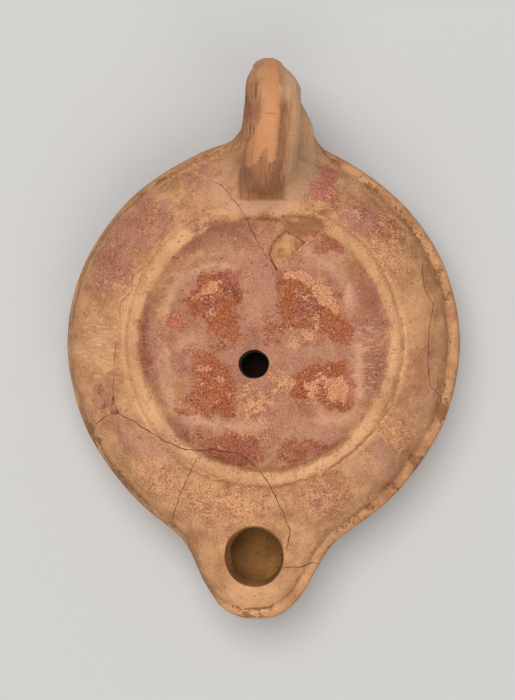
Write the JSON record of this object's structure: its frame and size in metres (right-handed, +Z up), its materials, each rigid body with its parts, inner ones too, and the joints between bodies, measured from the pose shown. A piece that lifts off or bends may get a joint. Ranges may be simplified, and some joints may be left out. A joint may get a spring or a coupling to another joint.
{
  "type": "oil lamp",
  "caption": "Round mould-made terracotta oil lamp with a sunken leaf-relief discus, a short rounded nozzle and an upright pierced ring handle, mended and worn.",
  "frame": {"origin": "centre of the flat base, on the surface the lamp stands on", "axes": "+Z up, -Y towards the nozzle, +Y towards the handle, +X to the right when seen from above with the handle away from the viewer"},
  "size_m": [0.08, 0.1116, 0.0406],
  "materials": {
    "terracotta": "matt worn slip over fired clay"
  },
  "bodies": {
    "root": {"lamp": "terracotta"}
  },
  "joints": []
}
